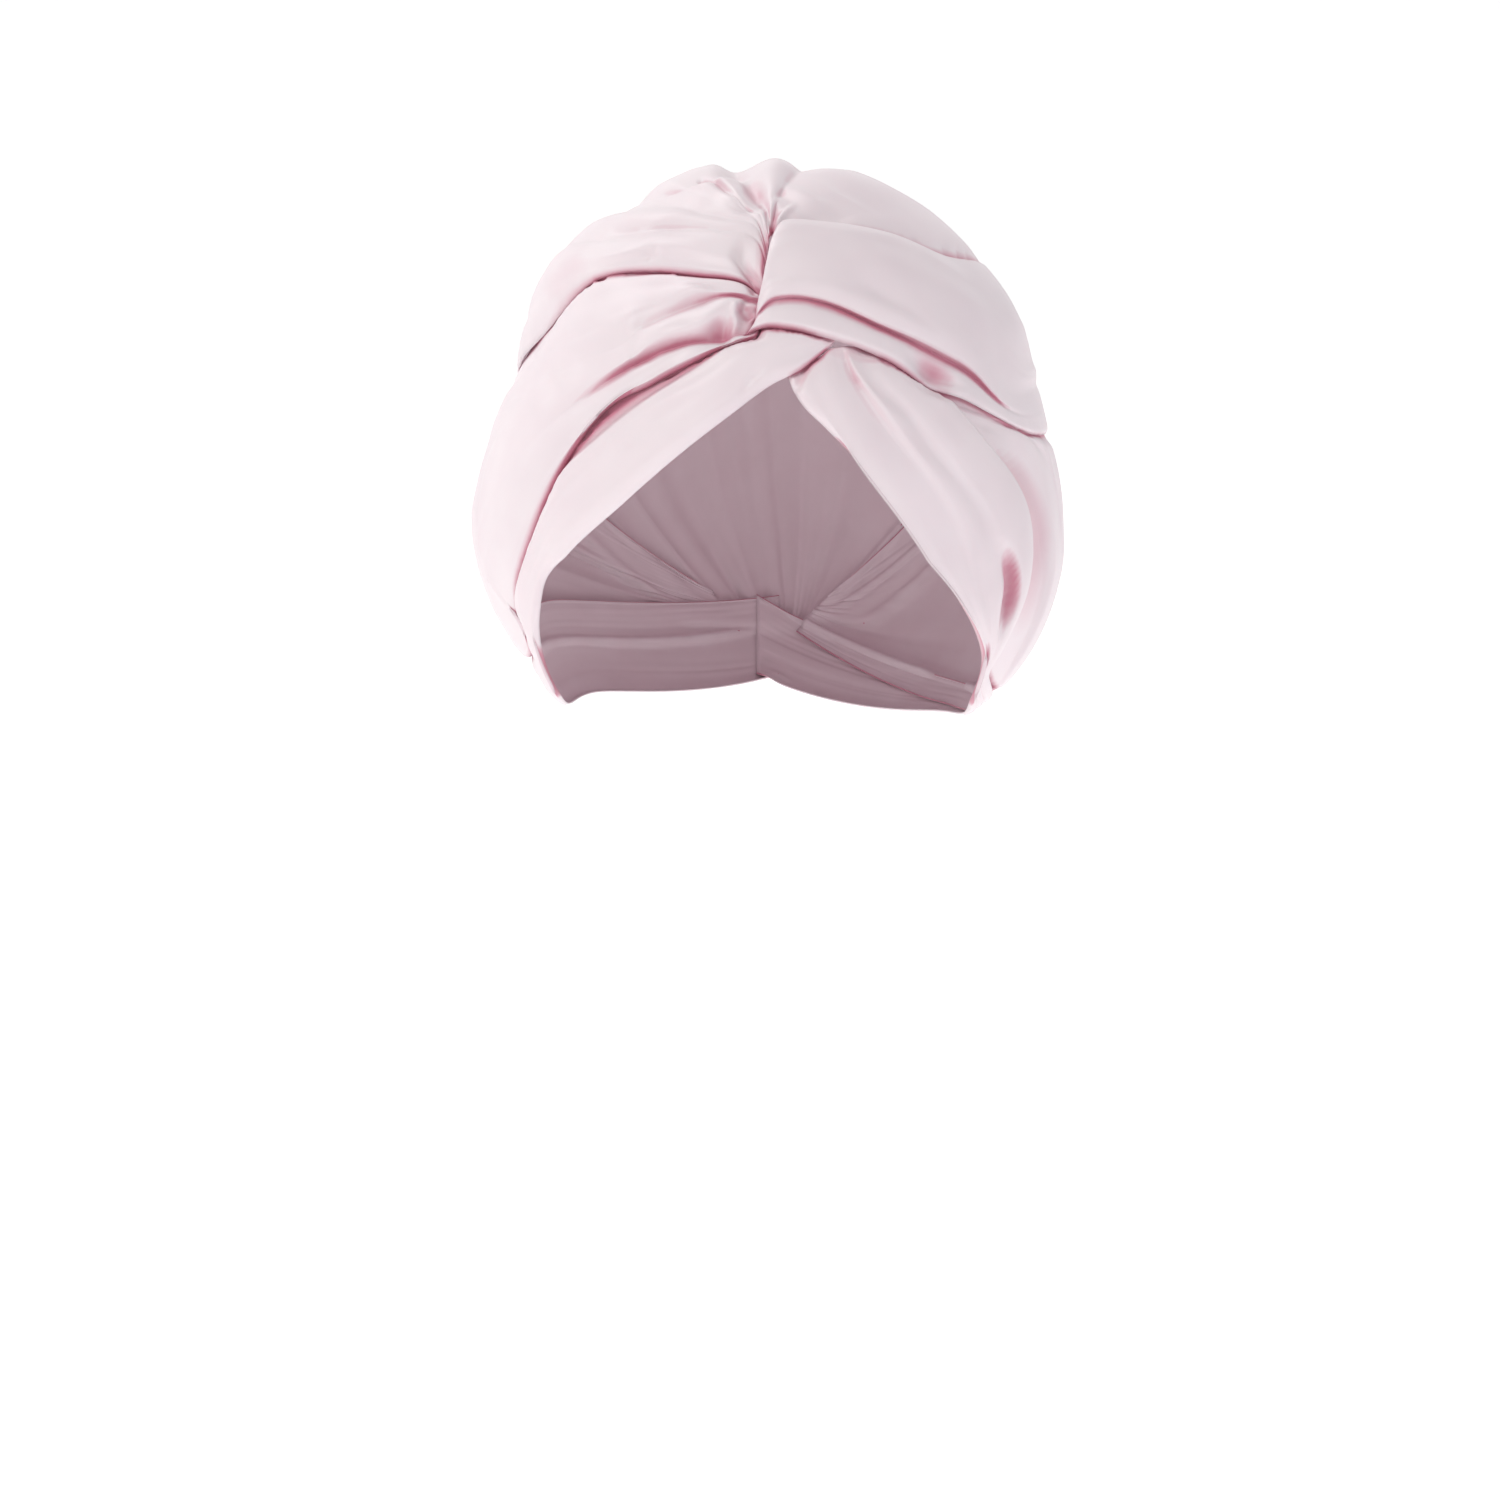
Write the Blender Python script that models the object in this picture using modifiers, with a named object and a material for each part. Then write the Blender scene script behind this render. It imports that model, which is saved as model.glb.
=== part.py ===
"""Turban headwrap of pink satin in its worn form: a crown panel, a twisted front and two brow bands.

Every piece is one sheet of cloth laid over the same egg-shaped form. A sheet is a grid whose lines
follow the folds listed in its table, and Solidify gives it its wall. Metres, +Z up, the brow
faces -Y. The origin is where the head's top bears on the inside of the crown.
"""

import bmesh
import bpy
import numpy as np
from mathutils import Vector
from mathutils.bvhtree import BVHTree

# Driving dimensions of the worn form, measured to the outside of the cloth
HALF_WIDTH = 0.105       # middle to one side, above the ears
BROW_DEPTH = 0.115       # middle to the brow
BACK_DEPTH = 0.125       # middle to the back of the head
CROWN_HEIGHT = 0.128     # widest level to the top of the crown
NAPE_DROP = 0.089        # widest level to where the form would close below
SEAT_DEPTH = 0.014       # crown's top down to where the head bears on the cloth

# The cloth
CROWN_WALL = 0.0012      # gathered satin of the crown panel
PANEL_WALL = 0.0012      # side panels
WRAP_WALL = 0.0014       # the doubled over-wrap
BAND_WALL = 0.0014       # the doubled brow bands
FOLD_RISE = 0.008        # height of a full fold above the form
GATHER_RISE = 0.0018     # height of the small gathers at the nape
LAYER_GAP = 0.0006       # air between one layer and the next
EDGE_SLOPE = 0.7         # how steeply a lower layer rises beside the edge that covers it
STEEPEST_FOLD = 0.4      # cosine of the steepest fold that a lower layer still follows
BACK_SEAM_GAP = 0.0008   # between the left and right pieces at the back centre

# Mesh fineness
FACES_ALONG = 34         # from the twist to the nape
FACES_PER_FOLD = 2       # from one fold line to the next

# Where the fold tables' columns lie along a sheet, as shares of its length
COLUMNS = ("twist", "brow", "temple", "side", "rear", "nape")
COLUMN_PLACES = (0.0, 0.17, 0.38, 0.58, 0.80, 1.0)

# One row for each fold line, from one edge of the sheet to the other. A column holds the line's
# place as shares of the form's half width and height, and its lift as a share of FOLD_RISE.
# The first four columns lie on the front half, the rear column on the back half.
CROWN_FOLDS = (
    # fold, kind, twist, brow, temple, side, rear
    ("left seam", "edge",
     (-.03, .68, .0), (-.22, .73, .1), (-.50, .71, .1), (-.80, .57, -.7), (-.85, .24, -.3)),
    ("seam roll", "ridge",
     (-.02, .71, .2), (-.22, .77, .6), (-.51, .76, .5), (-.78, .62, .0), (-.82, .33, .2)),
    ("low crease", "crease",
     (-.01, .745, .1), (-.22, .83, .2), (-.51, .80, .1), (-.70, .71, .5), (-.76, .40, -.2)),
    ("side fold", "ridge",
     (.00, .77, .2), (-.20, .855, .5), (-.44, .845, .5), (-.60, .80, .5), (-.65, .47, .4)),
    ("side crease", "crease",
     (.00, .79, .1), (-.16, .875, .1), (-.36, .89, .0), (-.46, .885, -.4), (-.54, .50, -.2)),
    ("left lobe", "ridge",
     (.00, .81, .2), (-.11, .88, .3), (-.22, .93, .4), (-.28, .955, .4), (-.39, .53, .5)),
    ("lobe crease", "crease",
     (.00, .825, .1), (-.07, .89, .0), (-.16, .94, .1), (-.20, .975, .4), (-.28, .55, -.1)),
    ("lobe edge", "ridge",
     (.005, .835, .2), (-.05, .90, .4), (-.12, .95, .5), (-.16, .985, .3), (-.19, .56, .3)),
    ("left valley", "crease",
     (.01, .845, .1), (-.02, .91, .0), (-.07, .96, -.3), (-.10, .992, -.6), (-.11, .56, -.3)),
    ("crest", "ridge",
     (.015, .855, .2), (.005, .915, .2), (.01, .97, .2), (.02, .999, .4), (.00, .56, .4)),
    ("right valley", "crease",
     (.02, .86, .1), (.05, .915, .0), (.09, .96, -.2), (.11, .99, -.4), (.12, .56, -.3)),
    ("right lobe", "ridge",
     (.03, .86, .1), (.13, .905, .3), (.25, .93, .4), (.30, .95, .4), (.31, .54, .5)),
    ("shoulder", "ridge",
     (.05, .85, .0), (.21, .87, .2), (.40, .87, .4), (.55, .83, .6), (.55, .47, .1)),
    ("tucked edge", "edge",
     (.05, .82, -.3), (.21, .81, -.3), (.44, .78, -.3), (.75, .62, -.2), (.80, .20, -.1)),
)
WRAP_FOLDS = (
    # fold, kind, twist, brow, temple, side, rear
    ("right seam", "edge",
     (-.075, .585, .3), (.12, .58, .1), (.50, .47, .0), (.90, .28, -.5), (.84, .00, -.2)),
    ("lower roll", "ridge",
     (-.065, .595, .5), (.11, .615, .6), (.47, .515, .5), (.885, .32, -.2), (.83, .04, .1)),
    ("deep crease", "crease",
     (-.05, .60, .4), (.095, .665, -.4), (.43, .555, -.4), (.87, .36, -.5), (.82, .08, -.1)),
    ("upper roll", "ridge",
     (-.04, .605, .7), (.09, .70, 1.2), (.43, .59, .9), (.87, .40, -.3), (.80, .13, .2)),
    ("broad fold", "ridge",
     (-.035, .61, .7), (.08, .76, 1.2), (.44, .68, .9), (.84, .46, -.1), (.77, .19, .1)),
    ("top roll", "ridge",
     (-.03, .615, .7), (.07, .82, 1.0), (.43, .775, .8), (.79, .56, .2), (.72, .27, .2)),
    ("fold edge", "edge",
     (-.025, .625, .6), (.055, .865, .6), (.42, .825, .2), (.75, .64, .0), (.70, .31, .0)),
)
LEFT_SIDE_FOLDS = (
    # fold, kind, twist, brow, temple, side, rear
    ("tucked edge", "edge",
     (-.03, .68, -.2), (-.22, .76, -.3), (-.51, .75, -.3), (-.79, .63, -.9), (-.84, .33, -.6)),
    ("top fold", "ridge",
     (-.04, .67, .1), (-.23, .69, .4), (-.54, .65, .1), (-.86, .47, -.6), (-.89, .14, .2)),
    ("top crease", "crease",
     (-.045, .66, .0), (-.24, .66, -.1), (-.57, .57, -.3), (-.90, .36, -.6), (-.90, .04, -.3)),
    ("middle fold", "ridge",
     (-.05, .65, .1), (-.25, .63, .5), (-.58, .50, .2), (-.94, .22, -.3), (-.89, -.07, .1)),
    ("puff valley", "crease",
     (-.06, .63, .0), (-.24, .585, -.6), (-.58, .43, -.2), (-.95, .03, -.1), (-.87, -.20, -.4)),
    ("brow roll", "ridge",
     (-.07, .62, .2), (-.26, .52, .5), (-.63, .33, .6), (-.92, -.16, -.2), (-.83, -.34, -.1)),
    ("lower edge", "edge",
     (-.08, .60, .1), (-.29, .475, .2), (-.70, .22, .2), (-.855, -.18, -.4), (-.78, -.48, -.5)),
)
LEFT_BAND_FOLDS = (
    # fold, kind, twist, brow, temple, side, rear
    ("tucked edge", "edge",
     (.14, .62, -.2), (-.20, .56, -.3), (-.63, .36, -.3), (-.88, -.08, -.6), (-.76, -.44, -.4)),
    ("upper roll", "ridge",
     (.16, .60, .2), (-.21, .50, .5), (-.69, .22, .5), (-.825, -.20, -.1), (-.74, -.52, -.2)),
    ("band dip", "crease",
     (.175, .585, .2), (-.22, .45, .2), (-.69, .15, .1), (-.795, -.25, -.4), (-.70, -.59, -.3)),
    ("lower swell", "ridge",
     (.19, .57, .2), (-.22, .39, .3), (-.69, .07, .1), (-.77, -.31, -.4), (-.66, -.64, -.3)),
    ("rim", "edge",
     (.21, .54, .0), (-.23, .32, -.2), (-.685, -.02, -.3), (-.74, -.37, -.6), (-.59, -.72, -.4)),
)
RIGHT_BAND_FOLDS = (
    # fold, kind, twist, brow, temple, side, rear
    ("outer edge", "edge",
     (.27, .60, -.2), (.54, .45, .0), (.86, .10, -.1), (.80, -.33, -.2), (.71, -.52, -.2)),
    ("outer ridge", "ridge",
     (.25, .59, .0), (.48, .42, .4), (.82, .06, .3), (.785, -.35, .0), (.70, -.56, .0)),
    ("shallow dip", "crease",
     (.235, .585, -.1), (.43, .40, -.2), (.75, .05, -.3), (.765, -.37, -.2), (.68, -.60, -.1)),
    ("crisp ridge", "ridge",
     (.22, .58, .0), (.38, .38, .5), (.67, .06, .4), (.75, -.38, .0), (.66, -.63, .0)),
    ("valley", "crease",
     (.20, .57, -.1), (.33, .37, -.3), (.62, .06, -.2), (.735, -.40, -.1), (.65, -.68, -.1)),
    ("band middle", "ridge",
     (.12, .55, .0), (.28, .36, .3), (.56, .04, .2), (.72, -.42, .0), (.63, -.71, .0)),
    ("rim", "edge",
     (.02, .53, -.2), (.22, .34, -.2), (.51, .01, -.3), (.70, -.45, -.3), (.60, -.76, -.2)),
)
RIGHT_SIDE_FOLDS = (
    # fold, kind, twist, brow, temple, side, rear
    ("tucked edge", "edge",
     (.30, .60, -.6), (.53, .50, -.5), (.85, .33, -.5), (.98, .18, -.1), (.86, .05, -.4)),
    ("upper fold", "ridge",
     (.295, .595, -.4), (.56, .45, -.2), (.89, .22, -.2), (.99, .03, .1), (.88, -.09, .1)),
    ("side crease", "crease",
     (.29, .59, -.4), (.57, .42, -.2), (.91, .12, -.4), (.96, -.13, .0), (.85, -.24, -.4)),
    ("side bulge", "ridge",
     (.285, .58, -.5), (.54, .41, -.4), (.87, .08, -.3), (.89, -.33, .5), (.80, -.42, .3)),
    ("lower edge", "edge",
     (.28, .57, -.6), (.50, .40, -.7), (.78, .05, -.9), (.73, -.52, .0), (.68, -.62, -.2)),
)

# The ends at the nape, as (across, up) shares for a sheet's first and last fold line
CROWN_NAPE = ((-.24, -.53), (.16, -.53))
WRAP_NAPE = ((.34, -.52), (.14, -.51))
LEFT_SIDE_NAPE = ((-.20, -.40), (-.10, -.56))
LEFT_BAND_NAPE = ((.0, -.42), (.0, -.72))
RIGHT_BAND_NAPE = ((.0, -.42), (.0, -.72))
RIGHT_SIDE_NAPE = ((.24, -.40), (.10, -.56))

# Satin, in linear colour
SATIN_PINK = (0.80, 0.60, 0.66, 1.0)
SATIN_MAUVE = (0.72, 0.56, 0.63, 1.0)
SATIN_ROUGHNESS = 0.38

# How often a lower layer is pressed down against the layers above it
TUCK_PASSES = 8


def clear_scene():
    """Empty the file of its objects."""
    for obj in list(bpy.data.objects):
        bpy.data.objects.remove(obj, do_unlink=True)


def satin(name, colour):
    """Smooth woven satin."""
    material = bpy.data.materials.new(name)
    material.use_nodes = True
    shader = material.node_tree.nodes["Principled BSDF"]
    shader.inputs["Base Color"].default_value = colour
    shader.inputs["Roughness"].default_value = SATIN_ROUGHNESS
    shader.inputs["Metallic"].default_value = 0.0
    return material


def direction(across, up, back):
    """Unit direction from the form's middle for a place given by its shares across and up."""
    depth = max(0.0, 1.0 - across * across - up * up) ** 0.5
    vector = np.array((across, depth if back else -depth, up))
    return vector / np.linalg.norm(vector)


def column_weights(count):
    """Weights that carry the table's columns to evenly spaced places along a sheet."""
    places = np.array(COLUMN_PLACES)
    last = len(places) - 1
    weights = np.zeros((count, last + 1))
    for index, place in enumerate(np.linspace(0.0, 1.0, count)):
        span = min(int(np.searchsorted(places, place, side="right")) - 1, last - 1)
        width = places[span + 1] - places[span]
        share = (place - places[span]) / width
        square = share * share
        cube = square * share
        weights[index, span] += 2 * cube - 3 * square + 1
        weights[index, span + 1] += 3 * square - 2 * cube
        for node, slope in ((span, cube - 2 * square + share), (span + 1, cube - square)):
            before = max(node - 1, 0)
            after = min(node + 1, last)
            pull = slope * width / (places[after] - places[before])
            weights[index, after] += pull
            weights[index, before] -= pull
    return weights


def fold_profile(share, first_kind, second_kind):
    """Progress of the height between two fold lines: round at a ridge, pointed at a crease."""
    first_sharp = first_kind != "ridge"
    second_sharp = second_kind != "ridge"
    if first_sharp and second_sharp:
        return share
    if first_sharp:
        return np.sin(share * np.pi / 2)
    if second_sharp:
        return 1 - np.cos(share * np.pi / 2)
    return (1 - np.cos(share * np.pi)) / 2


def form_points(directions, lifts):
    """Places over the egg-shaped form, with the origin at the head's seat."""
    depth = np.where(directions[..., 1] < 0, BROW_DEPTH, BACK_DEPTH)
    height = np.where(directions[..., 2] > 0, CROWN_HEIGHT, NAPE_DROP)
    size = np.stack((np.full_like(depth, HALF_WIDTH), depth, height), axis=-1)
    base = directions * size
    outward = base / np.linalg.norm(base, axis=-1, keepdims=True)
    points = base + outward * lifts[..., None]
    points[..., 2] -= CROWN_HEIGHT - SEAT_DEPTH
    return points


def form_middle():
    """The middle of the form, below the head's seat."""
    return np.array((0.0, 0.0, SEAT_DEPTH - CROWN_HEIGHT))


def sheet_grid(folds, nape):
    """Outer face of one sheet, as a grid of points: along it, then across its folds."""
    lines = []
    for index, (_, kind, *columns) in enumerate(folds):
        share = index / (len(folds) - 1)
        end = np.array(nape[0]) * (1 - share) + np.array(nape[1]) * share
        gather = GATHER_RISE if kind == "ridge" else 0.0
        stations = [(*direction(across, up, column == "rear"), lift * FOLD_RISE)
                    for column, (across, up, lift) in zip(COLUMNS, columns)]
        stations.append((*direction(end[0], end[1], True), gather))
        lines.append(column_weights(FACES_ALONG + 1) @ np.array(stations))
    rows = []
    for index in range(len(folds) - 1):
        for step in range(FACES_PER_FOLD):
            share = step / FACES_PER_FOLD
            height = fold_profile(share, folds[index][1], folds[index + 1][1])
            first, second = lines[index], lines[index + 1]
            row = first * (1 - share) + second * share
            row[:, 3] = first[:, 3] * (1 - height) + second[:, 3] * height
            rows.append(row)
    rows.append(lines[-1])
    table = np.stack(rows, axis=1)
    directions = table[..., :3] / np.linalg.norm(table[..., :3], axis=-1, keepdims=True)
    return form_points(directions, table[..., 3])


def grid_tree(points):
    """Search tree of a sheet's outer face, cut into the same triangles as its mesh."""
    count, width = points.shape[:2]
    corners = [Vector(point) for point in points.reshape(-1, 3)]
    faces = []
    for i in range(count - 1):
        for j in range(width - 1):
            corner = i * width + j
            faces.append((corner, corner + 1, corner + width + 1))
            faces.append((corner, corner + width + 1, corner + width))
    return BVHTree.FromPolygons(corners, faces), faces


def inner_samples(points, wall):
    """Points on the inner face of a sheet, at its corners and at the middles of its edges."""
    along = np.gradient(points, axis=0)
    across = np.gradient(points, axis=1)
    normals = np.cross(along, across)
    normals /= np.linalg.norm(normals, axis=-1, keepdims=True)
    outward = points - form_middle()
    normals *= np.sign((normals * outward).sum(-1, keepdims=True))
    inner = points - normals * wall
    middles = (
        (inner[:-1] + inner[1:]) / 2,
        (inner[:, :-1] + inner[:, 1:]) / 2,
        (inner[:-1, :-1] + inner[1:, 1:]) / 2,
    )
    return np.concatenate([inner.reshape(-1, 3)] + [group.reshape(-1, 3) for group in middles])


def lower_samples(points):
    """The corners that each sample of a sheet's outer face hangs on: corners, edges, triangles."""
    count, width = points.shape[:2]
    index = np.arange(count * width).reshape(count, width)
    near, far = index[:-1], index[1:]
    groups = (
        zip(index.ravel()),
        zip(near.ravel(), far.ravel()),
        zip(index[:, :-1].ravel(), index[:, 1:].ravel()),
        zip(near[:, :-1].ravel(), far[:, 1:].ravel()),
        zip(near[:, :-1].ravel(), near[:, 1:].ravel(), far[:, 1:].ravel()),
        zip(near[:, :-1].ravel(), far[:, :-1].ravel(), far[:, 1:].ravel()),
    )
    return [list(corners) for group in groups for corners in group]


def room_below(place, tree, wall):
    """Largest distance from the form's middle at which a place clears the sheet above it."""
    middle = Vector(form_middle())
    outward = (place - middle).normalized()
    hit, normal, _, distance = tree.ray_cast(middle, outward)
    if hit is not None:
        lean = max(abs(normal.dot(outward)), STEEPEST_FOLD)
        return distance - (wall + LAYER_GAP) / lean
    nearest, normal, _, _ = tree.find_nearest(place)
    spoke = (nearest - middle).normalized()
    offset = place - nearest
    beside = (offset - spoke * offset.dot(spoke)).length
    return (nearest - middle).length - wall - LAYER_GAP + EDGE_SLOPE * beside


def press_below(points, upper, wall):
    """How far each corner of a lower sheet has to sink to clear one upper sheet."""
    flat = points.reshape(-1, 3)
    middle = form_middle()
    sink = np.zeros(len(flat))
    tree, _ = grid_tree(upper)
    for corners in lower_samples(points):
        place = flat[corners].mean(axis=0)
        excess = np.linalg.norm(place - middle) - room_below(Vector(place), tree, wall)
        if excess > 0:
            sink[corners] = np.maximum(sink[corners], excess)
    below, faces = grid_tree(points)
    for place in inner_samples(upper, wall):
        radius = np.linalg.norm(place - middle)
        hit, _, face, distance = below.ray_cast(Vector(middle), Vector((place - middle) / radius))
        if hit is not None and distance > radius - LAYER_GAP:
            corners = list(faces[face])
            sink[corners] = np.maximum(sink[corners], distance - radius + LAYER_GAP)
    return sink.reshape(points.shape[:2])


def tuck_under(points, uppers):
    """Press a sheet inwards until it lies below every sheet that covers it."""
    points = points.copy()
    for _ in range(TUCK_PASSES):
        sink = np.zeros(points.shape[:2])
        for upper, wall in uppers:
            sink = np.maximum(sink, press_below(points, upper, wall))
        if sink.max() < LAYER_GAP / 20:
            break
        outward = points - form_middle()
        outward /= np.linalg.norm(outward, axis=-1, keepdims=True)
        points -= outward * sink[..., None]
    return points


def keep_to_side(points, side):
    """Hold a sheet on its own side of the back seam."""
    if side:
        rear = points[..., 1] > 0
        limit = BACK_SEAM_GAP / 2
        across = points[..., 0] * side
        points[..., 0] = np.where(rear, np.maximum(across, limit), across) * side
    return points


def make_sheet(name, points, wall, colour, collection):
    """One sheet of cloth as a named object: a mapped grid with a solid wall."""
    count, width = points.shape[:2]
    shape = bmesh.new()
    bmesh.ops.create_grid(shape, x_segments=count - 1, y_segments=width - 1, size=0.5)
    for vertex in shape.verts:
        i = round((vertex.co.x + 0.5) * (count - 1))
        j = round((vertex.co.y + 0.5) * (width - 1))
        vertex.co = points[i, j]
    bmesh.ops.triangulate(shape, faces=shape.faces, quad_method="FIXED")
    shape.normal_update()
    middle = Vector(form_middle())
    facing = sum(face.normal.dot(face.calc_center_median() - middle) for face in shape.faces)
    if facing < 0:
        bmesh.ops.reverse_faces(shape, faces=shape.faces)
    mesh = bpy.data.meshes.new(name)
    shape.to_mesh(mesh)
    shape.free()
    mesh.materials.append(satin(name + "_satin", colour))
    mesh.shade_smooth()
    obj = bpy.data.objects.new(name, mesh)
    collection.objects.link(obj)
    solid = obj.modifiers.new("cloth wall", "SOLIDIFY")
    solid.thickness = wall
    solid.offset = -1.0
    return obj


def build():
    """The whole headwrap, from the outermost layer inwards."""
    clear_scene()
    collection = bpy.data.collections.new("turban_headwrap")
    bpy.context.scene.collection.children.link(collection)
    layers = (
        # name, folds, nape, wall, side of the back seam, colour
        ("right_over_wrap", WRAP_FOLDS, WRAP_NAPE, WRAP_WALL, 0, SATIN_MAUVE),
        ("crown_panel", CROWN_FOLDS, CROWN_NAPE, CROWN_WALL, 0, SATIN_MAUVE),
        ("left_side_panel", LEFT_SIDE_FOLDS, LEFT_SIDE_NAPE, PANEL_WALL, -1, SATIN_PINK),
        ("left_brow_band", LEFT_BAND_FOLDS, LEFT_BAND_NAPE, BAND_WALL, -1, SATIN_PINK),
        ("right_brow_band", RIGHT_BAND_FOLDS, RIGHT_BAND_NAPE, BAND_WALL, 1, SATIN_PINK),
        ("right_side_panel", RIGHT_SIDE_FOLDS, RIGHT_SIDE_NAPE, PANEL_WALL, 1, SATIN_MAUVE),
    )
    laid = []
    for name, folds, nape, wall, side, colour in layers:
        points = keep_to_side(sheet_grid(folds, nape), side)
        points = tuck_under(points, laid)
        laid.append((points, wall))
        make_sheet(name, points, wall, colour, collection)


build()
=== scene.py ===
"""Pink satin turban headwrap in its worn form, laid sheet by sheet from the outermost layer inwards.

A sheet's table has one row for each fold line, and its columns follow the line from the twist over
the brow to the nape. A place over 2 is a pixel of the photograph, and a smaller one is a share of
the form's half width and height. Metres, +Z up, the brow faces -Y.
"""

import math

import bmesh
import bpy
import numpy as np
from mathutils import Matrix, Vector
from mathutils.bvhtree import BVHTree


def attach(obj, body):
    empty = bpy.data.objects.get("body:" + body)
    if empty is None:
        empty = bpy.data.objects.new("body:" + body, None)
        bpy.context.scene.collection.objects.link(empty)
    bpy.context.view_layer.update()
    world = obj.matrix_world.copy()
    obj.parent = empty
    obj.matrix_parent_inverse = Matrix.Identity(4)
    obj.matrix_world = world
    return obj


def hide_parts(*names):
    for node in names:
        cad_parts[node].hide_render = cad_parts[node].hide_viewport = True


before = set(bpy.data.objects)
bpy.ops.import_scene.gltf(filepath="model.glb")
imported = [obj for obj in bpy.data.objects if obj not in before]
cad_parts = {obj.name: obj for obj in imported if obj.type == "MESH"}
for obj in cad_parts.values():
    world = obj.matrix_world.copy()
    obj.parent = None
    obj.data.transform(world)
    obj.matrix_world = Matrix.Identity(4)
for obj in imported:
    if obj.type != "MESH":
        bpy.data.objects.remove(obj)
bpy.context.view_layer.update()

MM = 0.001

# The worn form, to the outside of the cloth, about its middle
HALF_WIDTH = 0.105
BROW_DEPTH = 0.115
BACK_DEPTH = 0.125
CROWN_HEIGHT = 0.128
NAPE_DROP = 0.089
MIDDLE = np.array((0.0, 0.0, -0.114))

# The view of the photograph
PHOTO_WIDTH = 1500
PIXEL = 0.000355              # at the form's middle
VIEW_DISTANCE = 2.45
VIEW_ELEVATION = math.radians(6.5)
MIDDLE_PIXEL = (768, 530)
FOCAL_PIXELS = VIEW_DISTANCE / PIXEL
SENSOR = 36.0
SEARCH_SPAN = (-0.15, 0.02)   # where the form is looked for along a ray, about its middle
SEARCH_STEPS = 1400

# The cloth
WALL = 0.0005                 # charmeuse, folded double at its edges
LAYER_GAP = 0.00025
EDGE_SLOPE = 0.9              # how steeply a lower layer rises beside the edge that covers it
EDGE_REACH = 0.006            # how far beside that edge it is held down
STEEPEST_FOLD = 0.35          # beyond this lean an upper fold takes no more room from a lower one
CURL_ROUND = 0.98             # how much of a quarter round a folded edge turns through
NAPE_RIDGE = 0.0016           # how high a ridge still stands where it ends at the nape
SWELLS = (14, 9)              # places of loose swell along and across a sheet
# The shade between folds is found by rays and painted rose into the cloth's colour
SHADE_START = 0.0002          # the shade between folds: where its rays start, how far they look
SHADE_REACH = 0.014
SHADE_COVERED = (0.62, 0.2)   # over this share a place lies under a layer, and its painted rose shade fades out
SHADE_RAYS = ((math.radians(30), 4), (math.radians(62), 8))  # lean from the normal, count

# Fineness of the sheets: faces along the front and along the rear, and the step across the folds
BROAD_SHEET = (190, 70, 0.00085)
SMALL_SHEET = (230, 80, 0.00065)
FRONT_END = 0.6               # share of a sheet's length that counts as its front
FOLD_FACES = (3, 24)          # fewest and most faces between two fold lines

# Strokes: how far back they press, the pixels looked at round one, its steps, a crease's width
STROKE_BACK = 0.02
STROKE_MARGIN = 40
STROKE_STEPS = 48
CREASE_REACHES = 1.6

# Where along its sheet each place of a fold line lies, as a share of the sheet's length
SHEET_COLUMNS = (0.0, 0.06, 0.17, 0.28, 0.40, 0.58, 0.80, 1.0)
SIDE_COLUMNS = (0.0, 0.06, 0.17, 0.28, 0.40, 0.52, 0.66, 0.82, 1.0)
BAND_COLUMNS = (0.0, 0.06, 0.16, 0.26, 0.37, 0.47, 0.55, 0.62, 0.81, 1.0)
PANEL_COLUMNS = (0.0, 0.17, 0.34, 0.47, 0.60, 0.80, 1.0)

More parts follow.
